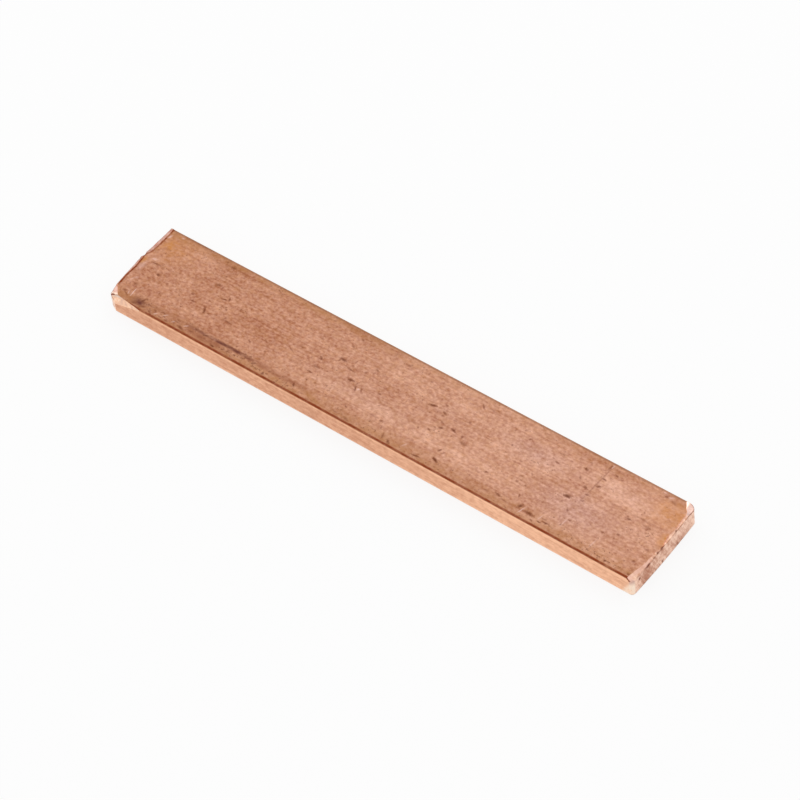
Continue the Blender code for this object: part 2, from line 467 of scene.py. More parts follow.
def placed(name, data):
    """A new object of the scene that shows a mesh, a lamp or a camera."""
    item = bpy.data.objects.new(name, data)
    bpy.context.scene.collection.objects.link(item)
    return item


def mesh_of(name, bm):
    """A mesh with the faces of a bmesh, which is freed."""
    mesh = bpy.data.meshes.new(name)
    bm.to_mesh(mesh)
    bm.free()
    return mesh


class BarSurface(bpy.types.PropertyGroup):
    """Sizes of what was worked into the bar's surface."""

    coarse_cell: length("Coarse cell", "Cell of the mesh along the plain middle", 1.0)
    end_cell: length("End cell", "Cell of the mesh at both dressed ends", 0.125)
    pit_depth: length("Pit depth", "Depth of the deepest pit", 0.055)
    stroke_wave: length("Stroke wave", "How far a file stroke wanders up or down", 0.05)
    groove_depth: length("Groove depth", "Depth of the grinding marks on the end faces", 0.05)
    speck_count: bpy.props.IntProperty(
        name="Specks", description="Number of small scattered pits", default=190, min=0
    )


class BarFinish(bpy.types.PropertyGroup):
    """Colours of the copper and of what time has left on it, and the highlights, reflections and lit sides
    that are painted on it.
    """

    deep: colour("Deep copper", "Darker patches of the drawn top", 160, 100, 74)
    pale: colour("Pale copper", "Lighter patches of the drawn top", 226, 176, 150)
    rose_deep: colour("Rosy copper, deep", "Darker patches where the top is pinkish", 158, 102, 83)
    rose_pale: colour("Rosy copper, pale", "Lighter patches where the top is pinkish", 224, 178, 159)
    amber_deep: colour("Warm copper, deep", "Darker patches where the top is warm", 160, 92, 50)
    amber_pale: colour("Warm copper, pale", "Lighter patches where the top is warm", 224, 158, 110)
    # Both side colours are lighter than the top's: painted light, for the light the sides catch
    painted_lit_side_deep: colour("Side, deep", "Darker patches of the long sides", 204, 140, 106)
    painted_lit_side_pale: colour("Side, pale", "Lighter patches of the long sides", 255, 201, 164)
    ochre: colour("Ochre", "Yellowish tarnish near the corners", 196, 132, 74)
    olive: colour("Olive", "Tarnish along both long edges of the top", 172, 118, 72)
    brown: colour("Brown", "Brown tarnish along the near edge", 150, 92, 68)
    violet: colour("Violet", "Bluish stains", 106, 58, 50)
    speck: colour("Speck", "Small dark specks", 120, 74, 54)
    # Arris: a painted dark reflection on the rounded near edges, in the colour of oxide
    painted_dark_reflection: colour("Arris", "Oxide left on the rounded near edge", 132, 60, 32)
    # Far arris: partly tarnish, partly a painted dark reflection on the rounded far edges
    far_edge_tarnish_and_reflection: colour("Far arris", "Tarnish on the rounded far edge", 150, 104, 78)
    lip: colour("Lip", "Oxide along the break of the sawn end", 132, 61, 28)
    strip: colour("Sawn break", "Filed metal along the sawn end", 176, 112, 92)
    facet: colour("Filed facet", "Filed metal of the small facets", 208, 170, 156)
    far_facet: colour("Far facet", "Filed metal of the facet that faces the back lamp", 194, 164, 154)
    long_flat: colour("Long flat", "Filed metal of the long flat", 255, 206, 172)
    # Bright lip: fresh metal with a painted highlight along the breaks of the ground end
    bright: colour("Bright lip", "Fresh metal along the breaks of the ground end", 228, 182, 163)
    # Polished corner: a painted highlight on the near corners, on the far facet of the ground end and in
    # blotches on the long flat
    painted_highlight_cream: colour("Polished corner", "The rounded near corner", 255, 236, 216)
    ground_deep: colour("Ground, deep", "Deeper marks on the end faces", 172, 98, 58)
    ground_pale: colour("Ground, pale", "Ridges on the end faces", 248, 206, 181)
    scuff: colour("Scuff", "Fresh metal in scuffs of the top", 242, 204, 194)
    pit: colour("Pit", "Oxide in pits and nicks", 108, 52, 26)
    roughness: number("Roughness", "Roughness of clean metal", 0.42, 0, 1)
    relief: length("Fine relief", "Height of the scratches that only the shading shows", 0.05)
    relief_share: number("Relief share", "How strongly the fine relief shows", 0.3, 0, 1)


class Studio(bpy.types.PropertyGroup):
    """The stage, its lamps and its camera."""

    floor_size: length("Floor size", "Side of the square floor", 3000)
    floor_glow: number("Floor glow", "Share of the floor's white that shadows leave", 0.85, 0, 1)
    world_level: number("World level", "Strength of the light from all around", 0.9)
    back_level: number("Back lamp", "Strength of the softbox behind the bar", 1.2)
    side_level: number("Side lamp", "Strength of the softbox beside the bar", 1.0)
    back_direction: direction("Back lamp from", "Where the softbox behind the bar is", (0.0, 0.75, 0.65))
    side_direction: direction("Side lamp from", "Where the softbox beside the bar is", (-0.85, 0.2, 0.5))
    lamp_distance: length("Lamp distance", "From the bar to each softbox", 1300)
    lamp_size: length("Lamp size", "Side of each softbox", 600)
    camera_turn: angle("Camera turn", "Azimuth of the camera", 41.3268)
    camera_rise: angle("Camera rise", "Elevation of the camera", 48.3323)
    camera_roll: angle("Camera roll", "Tilt of the horizon", -4.9591)
    camera_distance: length("Camera distance", "From the camera to the point it looks at", 650.62)
    camera_lens: number("Lens", "Focal length in millimetres", 130.05, 10, 400)
    camera_aim: bpy.props.FloatVectorProperty(
        name="Aim", description="Point at the middle of the picture", subtype="TRANSLATION", unit="LENGTH",
        size=3, default=(0.94088 * MM, 2.64911 * MM, 1.21750 * MM),
    )


# The mesh


def plain_copy():
    """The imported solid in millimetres, its loose triangles joined into flat faces."""
    bm = bmesh.new()
    bm.from_mesh(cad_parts[NODE].data)
    bmesh.ops.scale(bm, vec=Vector((1, 1, 1)) / MM, verts=bm.verts[:])
    bmesh.ops.remove_doubles(bm, verts=bm.verts[:], dist=ON_PLANE)
    bmesh.ops.dissolve_limit(
        bm, angle_limit=ONE_FLAT, verts=bm.verts[:], edges=bm.edges[:]
    )
    bm.normal_update()
    return bm


def lattice(low, high, cell):
    """Whole multiples of a cell between two places."""
    first = math.ceil((low + ON_PLANE) / cell)
    last = math.floor((high - ON_PLANE) / cell)
    return [step * cell for step in range(first, last + 1)]


def score(bm, faces, axis, places):
    """Cuts faces by planes square to an axis, the middle plane first, and returns the pieces."""
    if not places or not faces:
        return faces
    middle = len(places) // 2
    place = places[middle]
    edges = {edge for face in faces for edge in face.edges}
    verts = {vert for face in faces for vert in face.verts}
    cut = bmesh.ops.bisect_plane(
        bm,
        geom=[*verts, *edges, *faces],
        dist=ON_PLANE,
        plane_co=axis * place,
        plane_no=axis,
    )
    pieces = [item for item in cut["geom"] if isinstance(item, bmesh.types.BMFace)]
    below = [face for face in pieces if face.calc_center_median().dot(axis) < place]
    above = [face for face in pieces if face.calc_center_median().dot(axis) >= place]
    return score(bm, below, axis, places[:middle]) + score(bm, above, axis, places[middle + 1:])


def turned(away, degrees):
    """Distances along and across a line that is turned in plan."""
    turn = math.radians(degrees)
    return away @ (math.cos(turn), math.sin(turn)), away @ (-math.sin(turn), math.cos(turn))


def near_marks(faces, marks, margin):
    """The four-sided faces that lie within a margin of a mark."""
    quads = [face for face in faces if len(face.verts) == 4]
    centres = np.array([face.calc_center_median() for face in quads])[:, :2]
    chosen = np.zeros(len(quads), bool)
    for x, y, long_way, short_way, turn, _ in marks:
        along, across = turned(centres - (x, y), turn)
        reach_along = long_way * MARK_REACH + margin
        reach_across = short_way * MARK_REACH + margin
        chosen |= (abs(along) < reach_along) & (abs(across) < reach_across)
    return [face for face, taken in zip(quads, chosen) if taken]


def split_near(bm, marks, cell, parts):
    """Splits the cells of the top that a mark reaches, and returns the new size of a cell."""
    top = [face for face in bm.faces if face.normal.z > LEVEL]
    past_middle = cell * 0.6
    edges = {edge for face in near_marks(top, marks, past_middle) for edge in face.edges}
    bmesh.ops.subdivide_edges(bm, edges=list(edges), cuts=parts - 1, use_grid_fill=True)
    return cell / parts


def score_zone(bm, zone, cell):
    """Scores all but the underside in a box in plan into fine cells."""
    low_x, high_x, low_y, high_y = zone
    faces = []
    for face in bm.faces:
        centre = face.calc_center_median()
        within = low_x < centre.x < high_x and low_y < centre.y < high_y
        if within and face.normal.z > -FACING:
            faces.append(face)
    faces = score(bm, faces, X_AXIS, lattice(low_x, high_x, cell))
    faces = score(bm, faces, Y_AXIS, lattice(low_y, high_y, cell))
    score(bm, faces, Z_AXIS, lattice(LOW.z, HIGH.z, 2 * cell))


def scattered_specks(count):
    """Small pits in loose clusters over the top, the same ones on each run."""
    draw = random.Random(SPECK_SEED)
    specks = []
    while len(specks) < count:
        x = draw.uniform(LOW.x + SPECK_END_MARGIN, HIGH.x - SPECK_END_MARGIN)
        y = draw.uniform(LOW.y + SPECK_SIDE_MARGIN, HIGH.y - SPECK_SIDE_MARGIN)
        crowd = noise.noise(Vector((x * 0.12, y * 0.3, 4.0)))
        if crowd < draw.uniform(-0.5, 0.5):
            continue
        long_way = draw.uniform(*SPECK_LENGTH)
        short_way = long_way * draw.uniform(*SPECK_WIDTH)
        turn = draw.uniform(-90, 90)
        specks.append((x, y, long_way, short_way, turn, draw.uniform(*SPECK_STRENGTH)))
    return specks


def scored_bar(bm, surface, marks):
    """Scores the copy into cells: coarse in the middle, fine at the ends and round the marks."""
    cell = surface.coarse_cell / MM
    score(bm, bm.faces[:], X_AXIS, lattice(LOW.x, HIGH.x, cell))
    level = [face for face in bm.faces if abs(face.normal.z) > FACING]
    upright = [face for face in bm.faces if abs(face.normal.z) <= FACING]
    score(bm, level, Y_AXIS, lattice(LOW.y, HIGH.y, cell))
    score(bm, upright, Z_AXIS, lattice(LOW.z, HIGH.z, cell))
    for parts in (4, 2):
        cell = split_near(bm, marks, cell, parts)
    for zone in FINE_ZONES:
        score_zone(bm, zone, surface.end_cell / MM)


def smooth(value, start, stop):
    """Rises from 0 at start to 1 at stop, without corners."""
    share = np.clip((value - start) / (stop - start), 0, 1)
    return share * share * (3 - 2 * share)


def ripple(points, scale, seed=0.0):
    """Smooth noise from -1 to 1 at each point. The scale is cycles per millimetre along each axis."""
    stretched = points * np.array(scale) + seed
    return np.array([noise.noise(Vector(point)) for point in stretched])


class Flats:
    """The planes of flat faces. A sliver is left out, because its normal isn't exact."""

    def __init__(self, faces):
        wide = [face for face in faces if face.calc_area() > SLIVER]
        self.normals = np.array([face.normal for face in wide])
        self.offsets = np.array([face.normal.dot(face.calc_center_median()) for face in wide])

    def depth(self, points):
        """How far each point lies under each flat."""
        return self.offsets - points @ self.normals.T


def stroke_wander(filed, points, wave):
    """How far each filed flat lies above or below its plane at each point.

    The flat of a break also moves in or out with its table, and an upright flat stays where it is.
    """
    wander = np.zeros((len(points), len(filed.offsets)))
    slow = ripple(points, (0.35, 0.35, 0), 3.1) + 0.6 * ripple(points, (1.1, 1.1, 0), 8.4)
    for column, normal in enumerate(filed.normals):
        if normal[2] < FACING:
            continue
        wander[:, column] = slow * wave
        along_the_end = abs(normal[1]) < 0.08
        if along_the_end:
            reach = SAWN_BREAK if normal[0] < 0 else GROUND_BREAK
            ys, reaches = zip(*sorted(reach))
            end = LOW.x if normal[0] < 0 else HIGH.x
            start = (filed.offsets[column] - TOP * normal[2] - points[:, 1] * normal[1]) / normal[0]
            further = np.interp(points[:, 1], ys, reaches) - abs(start - end)
            wander[:, column] -= further * abs(normal[0])
    return wander


def roof(filed, points, wander):
    """Height of the dressed top over each point in plan."""
    rising = filed.normals[:, 2] > RISING
    normals = filed.normals[rising]
    level = filed.offsets[rising] + wander[:, rising] - points[:, :2] @ normals[:, :2].T
    return np.minimum(TOP, (level / normals[:, 2]).min(axis=1))


def follow_strokes(points, filed, wander):
    """Lifts or lowers the upper half of the bar as the file strokes wander."""
    straight = roof(filed, points, np.zeros_like(wander))
    share = smooth(points[:, 2] / straight, FOLLOWS_ABOVE, 1)
    points[:, 2] += (roof(filed, points, wander) - straight) * share


def sink_marks(points, marks, depth):
    """Sinks the pits into the top. Returns the grime of each point, below 0 where metal is fresh."""
    grime = np.zeros(len(points))
    on_top = points[:, 2] > TOP - EDGE_RADIUS
    for x, y, long_way, short_way, turn, strength in marks:
        away = points[:, :2] - (x, y)
        near = on_top & (np.hypot(*away.T) < long_way * 1.5)
        if not near.any():
            continue
        along, across = turned(away[near], turn)
        rough = ripple(points[near], (3.5, 3.5, 0), x)
        away = np.hypot(along / (long_way / 2), across / (short_way / 2)) * (1 + 0.5 * rough)
        hollow = 1 - smooth(away, 0.2, 1.5)
        share = 1 - smooth(away, 0.1, 2.2 if strength > 0 else 1.6)
        points[near, 2] -= hollow * max(strength, 0) * depth
        stronger = share * abs(strength) > abs(grime[near])
        grime[near] = np.where(stronger, share * strength, grime[near])
    return grime


def cut_nicks(points, grime):
    """Knocks the nicks into the edges of both ends, and returns the grime with theirs."""
    for x, y, z, reach_x, reach_y, reach_z, depth in NICKS:
        away = (points - (x, y, z)) / (reach_x, reach_y, reach_z)
        away = np.linalg.norm(away, axis=1) * (1 + 0.3 * ripple(points, (2.5, 2.5, 2.5), y))
        share = 1 - smooth(away, 0.3, 1.1)
        inwards = Vector((-math.copysign(1, x), 0, -1 if z > TOP / 2 else 1)).normalized()
        points += np.outer(share * depth, inwards)
        grime = np.where(share * NICK_GRIME > abs(grime), share * NICK_GRIME, grime)
    return grime


def grind_ends(points, on_end, depth):
    """Cuts leaning grooves into both end faces."""
    side = np.sign(points[:, 0])
    lean = points[:, 1] + GROOVE_LEAN * points[:, 2]
    streaks = np.column_stack([lean, points[:, 2] * 0.25, side])
    grooves = 0.5 + 0.5 * ripple(streaks, (0.9, 1, 3)) + 0.2 * ripple(streaks, (2.4, 1, 3))
    grain = ripple(points, (2.2, 2.2, 2.2), 5.5)
    points[:, 0] -= side * np.clip(grooves + 0.2 * grain, 0, 1.5) * on_end * depth


def slant(cosines):
    """Sine of the angle between two flats, kept away from zero."""
    return np.sqrt(np.maximum(1 - cosines ** 2, 0.01))


def past_edges(points, wander, drawn, filed):
    """Millimetres from each point to the edge of the filed part, and to its nearest crease.

    The first is below 0 on filed metal and above 0 on drawn metal.
    """
    under_filed = np.maximum(filed.depth(points) + wander, 0)
    under_drawn = np.maximum(drawn.depth(points), 0)
    nearest_drawn = drawn.normals[under_drawn.argmin(axis=1)]
    nearest_filed = filed.normals[under_filed.argmin(axis=1)]
    to_filed = (under_filed / slant(nearest_drawn @ filed.normals.T)).min(axis=1)
    to_drawn = (under_drawn / slant(nearest_filed @ drawn.normals.T)).min(axis=1)
    between = slant(nearest_filed @ filed.normals.T)
    to_crease = np.full_like(under_filed, NO_CREASE)
    np.divide(under_filed, between, out=to_crease, where=between >= MILD_CREASE)
    return to_filed - to_drawn, to_crease.min(axis=1)


def worked_surface(bm, surface, marks, drawn, filed):
    """Moves the points of the scored bar and returns the values that its material reads."""
    facing_end = [[abs(face.normal.x) > FACING for face in vert.link_faces] for vert in bm.verts]
    on_end = np.array([any(faces) for faces in facing_end]) * 1.0
    inside_end = np.array([all(faces) for faces in facing_end]) * 1.0

    points = np.array([vert.co for vert in bm.verts])
    wander = stroke_wander(filed, points, surface.stroke_wave / MM)
    follow_strokes(points, filed, wander)
    grime = sink_marks(points, marks, surface.pit_depth / MM)
    grime = cut_nicks(points, grime)
    grind_ends(points, on_end, surface.groove_depth / MM)
    points = np.clip(points, LOW, HIGH)
    for vert, point in zip(bm.verts, points):
        vert.co = point

    edge, crease = past_edges(points, wander, drawn, filed)
    return {EDGE: edge, GRIME: grime, UPRIGHT: inside_end, CREASE: crease}


def worked_bar(surface):
    """The bar's finished mesh object, in metres at the origin."""
    bm = plain_copy()
    drawn = Flats([face for face in bm.faces if abs(face.normal.x) < RUNS_ALONG])
    filed = Flats([face for face in bm.faces if abs(face.normal.x) >= RUNS_ALONG])
    marks = [*MARKS, *scattered_specks(surface.speck_count)]
    scored_bar(bm, surface, marks)
    values = worked_surface(bm, surface, marks, drawn, filed)
    bmesh.ops.scale(bm, vec=Vector((1, 1, 1)) * MM, verts=bm.verts[:])
    bmesh.ops.triangulate(bm, faces=bm.faces[:], quad_method="BEAUTY", ngon_method="BEAUTY")

    mesh = mesh_of("worked_bar", bm)
    for name, numbers in values.items():
        attribute = mesh.attributes.new(name, "FLOAT", "POINT")
        attribute.data.foreach_set("value", numbers.astype(np.float32))
    mesh.shade_smooth()
    mesh.set_sharp_from_angle(angle=SHARP)
    return placed("worked_bar", mesh)


# The materials


class Wire:
    """One socket of a shader tree. Arithmetic on it adds Math nodes."""

    def __init__(self, tree, socket):
        self.tree = tree
        self.socket = socket

    def __add__(self, other):
        return self.tree.math("ADD", self, other)

    def __radd__(self, other):
        return self.tree.math("ADD", other, self)

    def __sub__(self, other):
        return self.tree.math("SUBTRACT", self, other)

    def __rsub__(self, other):
        return self.tree.math("SUBTRACT", other, self)

    def __mul__(self, other):
        return self.tree.math("MULTIPLY", self, other)

    def __rmul__(self, other):
        return self.tree.math("MULTIPLY", other, self)

    def __truediv__(self, other):
        return self.tree.math("DIVIDE", self, other)

    def __rtruediv__(self, other):
        return self.tree.math("DIVIDE", other, self)

    def __abs__(self):
        return self.tree.math("ABSOLUTE", self)


class Tree:
    """A node tree that is written as expressions."""

    def __init__(self, owner):
        owner.use_nodes = True
        self.nodes = owner.node_tree.nodes
        self.links = owner.node_tree.links
        self.nodes.clear()

    def node(self, kind, sockets=None, **settings):
        """Adds a node with its settings, then sets or links its sockets."""
        node = self.nodes.new(kind)
        for name, value in settings.items():
            setattr(node, name, value)
        for name, value in (sockets or {}).items():
            if isinstance(value, Wire):
                self.links.new(value.socket, node.inputs[name])
            else:
                node.inputs[name].default_value = value
        return node

    def wire(self, node, output=0):
        return Wire(self, node.outputs[output])

    def math(self, operation, *values):
        return self.wire(self.node("ShaderNodeMath", dict(enumerate(values)), operation=operation))

    def largest(self, first, *others):
        for other in others:
            first = self.math("MAXIMUM", first, other)
        return first

    def smooth(self, value, start, stop):
        """Rises from 0 at start to 1 at stop, without corners."""
        sockets = {"Value": value, "From Min": start, "From Max": stop}
        return self.wire(self.node("ShaderNodeMapRange", sockets, interpolation_type="SMOOTHSTEP"))

    def band(self, value, start, full, fade, stop):
        """1 between full and fade, and 0 outside start and stop."""
        return self.smooth(value, start, full) * (1 - self.smooth(value, fade, stop))

    def mix(self, factor, first, second):
        """Blends two colours. Names repeat on this node, so its sockets go by number."""
        sockets = {0: factor, 6: first, 7: second}
        return self.wire(self.node("ShaderNodeMix", sockets, data_type="RGBA"), 2)

    def stretched(self, vector, scale):
        """A vector that is scaled along each axis."""
        sockets = {0: vector, 1: scale}
        return self.wire(self.node("ShaderNodeVectorMath", sockets, operation="MULTIPLY"))

    def noise(self, vector, scale, detail, roughness):
        """Noise about 0, mostly between -0.3 and 0.3. The scale is per millimetre along each axis."""
        sockets = {
            "Vector": self.stretched(vector, scale),
            "Scale": 1.0,
            "Detail": detail,
            "Roughness": roughness,
        }
        return self.wire(self.node("ShaderNodeTexNoise", sockets)) - 0.5

    def spot(self, x, y, centre_x, centre_y, reach_x, reach_y):
        """A soft round patch: 1 at its centre and 0 at its reach."""
        away_x = (x - centre_x) / reach_x
        away_y = (y - centre_y) / reach_y
        away = self.math("SQRT", away_x * away_x + away_y * away_y)
        return 1 - self.smooth(away, 0.0, 1.0)

    def patches(self, x, y, rows):
        """The strongest of some spots. A row is a spot and its strength."""
        return self.largest(*(self.spot(x, y, *patch) * strength for *patch, strength in rows))

    def streaks(self, x, y, rows):
        """The strongest of some streaks. A row is a band of x, a band of y and a strength."""
        bands = []
        for along, across, strength in rows:
            bands.append(self.band(x, *along) * self.band(y, *across) * strength)
        return self.largest(*bands)

    def value(self, name):
        """A value that the mesh carries."""
        node = self.node("ShaderNodeAttribute", attribute_name=name, attribute_type="GEOMETRY")
        return self.wire(node, "Fac")

    def place(self):
        """Where a point is on the bar, in millimetres."""
        object_place = self.wire(self.node("ShaderNodeTexCoord"), "Object")
        return self.stretched(object_place, (1 / MM,) * 3)

    def split(self, vector):
        """The X, Y and Z of a vector."""
        node = self.node("ShaderNodeSeparateXYZ", {"Vector": vector})
        return [self.wire(node, axis) for axis in "XYZ"]

    def seen(self):
        """1 for the rays that show the stage: seen directly, in a reflection or through glass."""
        path = self.node("ShaderNodeLightPath")
        kinds = ("Is Camera Ray", "Is Glossy Ray", "Is Transmission Ray")
        return self.largest(*(self.wire(path, kind) for kind in kinds))


class Place:
    """Where a point of the bar is, in millimetres, and what the mesh says of it."""

    def __init__(self, tree):
        self.tree = tree
        self.vector = tree.place()
        self.x, self.y, self.z = tree.split(self.vector)
        self.near = self.y * -1
        self.edge = tree.value(EDGE)
        self.grime = tree.value(GRIME)
        self.crease = tree.value(CREASE)
        self.level = 1 - tree.value(UPRIGHT)
        self.bared = 1 - tree.smooth(self.edge, *BARE_FADE)
        self.sawn = 1 - tree.smooth(self.x, *SAWN_PART)
        self.ground = tree.smooth(self.x, *GROUND_PART)

        # Way round the section: 0 where the rounded edge leaves the top or the underside, 0.8 at the side
        past_flat = abs(self.y) - (HIGH.y - EDGE_RADIUS)
        self.section = past_flat + TOP / 2 - abs(self.z - TOP / 2)

    def noise(self, along, across, detail=3.0, roughness=0.6):
        """Noise with its cycles per millimetre along and across the bar."""
        return self.tree.noise(self.vector, (along, across, across), detail, roughness)


def shaded(tree, at):
    """How light and how warm the top is at each place, before its grain."""
    lighter = 0.44 + tree.smooth(at.x, -60, 20) * 0.11
    warmer = (1 - tree.smooth(at.x, -60, 40)) * 0.16
    for *patch, light, warm in SHADES:
        shade = tree.spot(at.x, at.y, *patch)
        lighter = lighter + shade * light
        warmer = warmer + shade * warm
    return lighter, warmer


def clean_top(tree, finish, at, grain, streaks, clouds, hue):
    """The drawn metal: dark and pale patches, which turn warm, rosy or greenish in places."""
    lighter, warmer = shaded(tree, at)
    lined = 1 - tree.smooth(abs(at.x), 50, 64) * 0.7
    tone = lighter + grain * 1.6 + streaks * lined * 0.55 + clouds * 0.75
    warmth = warmer + hue * 1.25
    metal = tree.mix(tone, finish.deep, finish.pale)
    metal = tree.mix(warmth, metal, tree.mix(tone, finish.amber_deep, finish.amber_pale))
    metal = tree.mix(warmth * -1, metal, tree.mix(tone, finish.rose_deep, finish.rose_pale))
    greenish = at.noise(0.6, 0.85)
    return tree.mix(greenish * 1.3 + 0.06, metal, finish.olive)


def tarnished(tree, finish, at, metal, streaks, hue, near_band):
    """Tarnish over the drawn metal: ochre, then olive along both edges, then brown and violet."""
    ragged = at.noise(0.3, 0.6)
    ochre = tree.patches(at.x, at.y, OCHRE_PATCHES)
    metal = tree.mix(ochre * (0.75 + ragged * 2.4 + hue * 1.5), metal, finish.ochre)

    far_band = tree.smooth(at.y, 9.0, 11.7) * (0.6 - tree.smooth(at.x, -15, 10) * 0.3)
    olive = tree.largest(far_band, near_band)
    metal = tree.mix(olive * (0.7 + ragged * 2.6 + streaks * 1.5), metal, finish.olive)

    far_brown = tree.spot(at.x, at.y, *FAR_BROWN_PATCH)
    metal = tree.mix(far_brown * (0.35 + ragged * 2.0), metal, finish.brown)
    near_brown = tree.streaks(at.x, at.y, BROWN_STREAKS)
    metal = tree.mix(near_brown * (0.55 + ragged * 2.2), metal, finish.brown)

    streak = tree.streaks(at.x, at.y, VIOLET_STREAKS) * (0.7 + ragged * 2.4)
    stain = tree.spot(at.x, at.y, *VIOLET_PATCH) * (1.0 + hue * 2.0)
    return tree.mix(tree.largest(streak, stain) * 0.85, metal, finish.violet)


def drawn_top(tree, finish, at):
    """The drawn top, with its tarnish and its small dark specks."""
    grain = at.noise(1.15, 1.45)
    streaks = at.noise(0.05, 2.0, 1.0, 0.5)
    clouds = at.noise(0.12, 0.3, 3.0, 0.5)
    hue = at.noise(0.8, 1.0)
    near_band = tree.smooth(at.near, 7.4, 11.0) * (0.6 - tree.smooth(at.x, -30, 20) * 0.12)

    metal = clean_top(tree, finish, at, grain, streaks, clouds, hue)
    metal = tarnished(tree, finish, at, metal, streaks, hue, near_band)
    dots = at.noise(1.6, 2.1, 2.0, 0.5)
    specks = tree.smooth(dots + clouds * 0.4 + near_band * 0.12, 0.15, 0.33) * 0.75
    return tree.mix(specks, metal, finish.speck), grain, streaks


def long_side(tree, finish, at):
    """The long sides, painted lighter than the top for the light they catch, lighter still towards the
    ground end, and with a painted highlight under the rounded edge.
    """
    grain = at.noise(0.8, 1.4)
    streaks = at.noise(0.06, 2.0, 2.0, 0.5)
    # A painted highlight along the side just under the rounded edge
    painted_highlight_under_edge = tree.band(at.section, 0.4, 0.65, 0.85, 1.2) * 0.25
    tone = 0.41 + tree.smooth(at.x, -5, 50) * 0.35 + grain * 1.4 + streaks * 0.9 + painted_highlight_under_edge
    return tree.mix(tone, finish.painted_lit_side_deep, finish.painted_lit_side_pale)


def rounded_edges(tree, finish, at, metal, patchy):
    """A painted dark reflection along the rounded near edges, in the colour of oxide, and a paler band
    along the far ones, partly tarnish and partly painted dark reflection.
    """
    far = tree.smooth(at.y, -1, 1)
    # The band of the painted dark reflection on the rounded edges
    painted_dark_reflection = tree.band(at.section, -0.5, -0.1, 0.2, 0.46) * (0.86 + patchy * 1.8)
    edge_reflection_and_tarnish = tree.mix(far, finish.painted_dark_reflection, finish.far_edge_tarnish_and_reflection)
    return tree.mix(painted_dark_reflection * (1 - far * 0.25), metal, edge_reflection_and_tarnish)


def end_face(tree, finish, at):
    """The end faces, with the streaks of the saw and the grinder."""
    sockets = {"X": at.x * 0.02, "Y": at.y + at.z * 0.5, "Z": at.z * 0.2}
    leaning = tree.wire(tree.node("ShaderNodeCombineXYZ", sockets))
    streaks = tree.noise(leaning, (1.0, 1.6, 1.0), 3.0, 0.5)
    grain = at.noise(1.2, 1.2)
    burnt = tree.spot(at.y, at.z, *BURNT_PATCH) * at.ground * (1 + grain * 2.4)
    rusty = tree.spot(at.y, at.z, *RUSTY_PATCH) * at.ground
    brighter = tree.smooth(at.y, 2, 12) * 0.25 + tree.smooth(at.near, 8, 10) * 0.15
    tone = 0.61 + brighter + streaks * 1.4 + grain * 1.6 - tree.largest(burnt * 0.5, rusty * 0.35)
    metal = tree.mix(tone, finish.ground_deep, finish.ground_pale)
    spots = tree.patches(at.y, at.z, GROUND_SPOTS) * at.ground
    return tree.mix(spots, metal, finish.lip), streaks


def ground_flats(tree, finish, at, metal, mottle):
    """The break of the ground end: fresh metal with a painted highlight, strongest on its near half,
    duller on its far half and with painted shade in a band near the middle; and the facet of its far
    corner, with a painted highlight in a wedge.
    """
    near_half = tree.smooth(at.near, 2.5, 8.0)
    far_half = tree.smooth(at.y, 2.0, 4.5)
    inner = -0.2 - near_half * 0.6
    lip = tree.smooth(at.edge, inner - 0.2, inner + 0.1) * at.level
    # Fresh metal with a painted highlight, strongest on the near half
    fresh_and_highlight_share = 0.2 + near_half * 0.66 + far_half * 0.1 + mottle * 2.2
    metal = tree.mix(lip * fresh_and_highlight_share, metal, finish.bright)
    # Painted shade in a band across the break near the middle
    painted_shade_band = tree.band(at.y, -1.6, -0.8, 1.8, 2.8)
    dull_and_painted_shade = tree.largest(far_half * (0.6 + mottle * 1.5), painted_shade_band * 0.9)
    metal = tree.mix(lip * dull_and_painted_shade, metal, finish.strip)

    far_corner = tree.smooth(at.y, 8.6, 9.6) * at.level * (1 - at.sawn)
    metal = tree.mix(far_corner * (0.9 + mottle), metal, finish.far_facet)
    # A painted highlight in a wedge of the far facet, next to the break
    painted_highlight_wedge = 1 - tree.smooth(at.x + (at.y - 9.6) * 0.2, 72.7, 73.25)
    return tree.mix(far_corner * painted_highlight_wedge, metal, finish.painted_highlight_cream)


def sawn_flats(tree, finish, at, metal, mottle):
    """The break of the sawn end, the small facet of its near corner and the long flat, with a painted
    highlight on the near corner and in blotches on the long flat.
    """
    level = at.level * at.sawn
    past_corner = tree.smooth(at.y, -8.9, -8.3)
    strip = tree.mix(0.5 + mottle * 2.0, finish.strip, finish.facet)
    metal = tree.mix(level * past_corner, metal, strip)

    corner = level * (1 - past_corner)
    facet = tree.mix(0.7 + mottle * 3.0, finish.strip, finish.facet)
    metal = tree.mix(corner, metal, facet)
    # A painted highlight on the near part of the corner facet
    metal = tree.mix(corner * tree.smooth(at.near, 10.6, 11.3) * 0.55, metal, finish.painted_highlight_cream)

    peach = tree.mix(0.84 + mottle * 3.4, finish.facet, finish.long_flat)
    # Blotches of painted highlight on the long flat
    peach = tree.mix(tree.smooth(mottle, 0.02, 0.2) * 0.6, peach, finish.painted_highlight_cream)
    return tree.mix(level * tree.smooth(at.near, 11.6, 11.8), metal, peach)


def painted_corner_highlight(tree, finish, at, metal, patchy):
    """A painted highlight on the near corner of the ground end, giving way to filed metal towards the top.
    """
    corner = tree.smooth(at.x - at.z * 0.5, 71.4, 72.6) * tree.smooth(at.near, 11.2, 11.9)
    painted_highlight_cream = tree.mix(0.3 + patchy * 2.0, finish.painted_highlight_cream, finish.painted_lit_side_pale)
    corner_highlight = tree.mix(tree.smooth(at.z, 2.8, 4.6), painted_highlight_cream, finish.facet)
    return tree.mix(corner * (1.0 + patchy), metal, corner_highlight)


